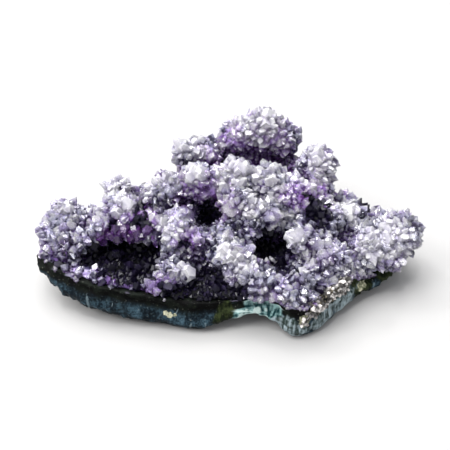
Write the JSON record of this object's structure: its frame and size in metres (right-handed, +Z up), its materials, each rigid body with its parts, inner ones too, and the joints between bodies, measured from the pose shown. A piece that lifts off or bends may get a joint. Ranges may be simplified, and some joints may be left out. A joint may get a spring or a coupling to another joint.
{
  "type": "amethyst cluster",
  "caption": "Irregular amethyst cluster: knobby druse with caves and a rear peak, grown on a curved shell of banded blue-green agate that it rests on.",
  "frame": {"origin": "under the middle of the cluster's box, on the surface that it rests on", "axes": "+X along the longest side, towards the low right wing, +Y away from the front, towards the tall rear peak, +Z up"},
  "size_m": [0.1394, 0.0852, 0.0475],
  "materials": {
    "agate": "satin",
    "amethyst": "glossy"
  },
  "bodies": {
    "root": {"agate_rind": "agate", "amethyst_druse": "amethyst"}
  },
  "joints": []
}
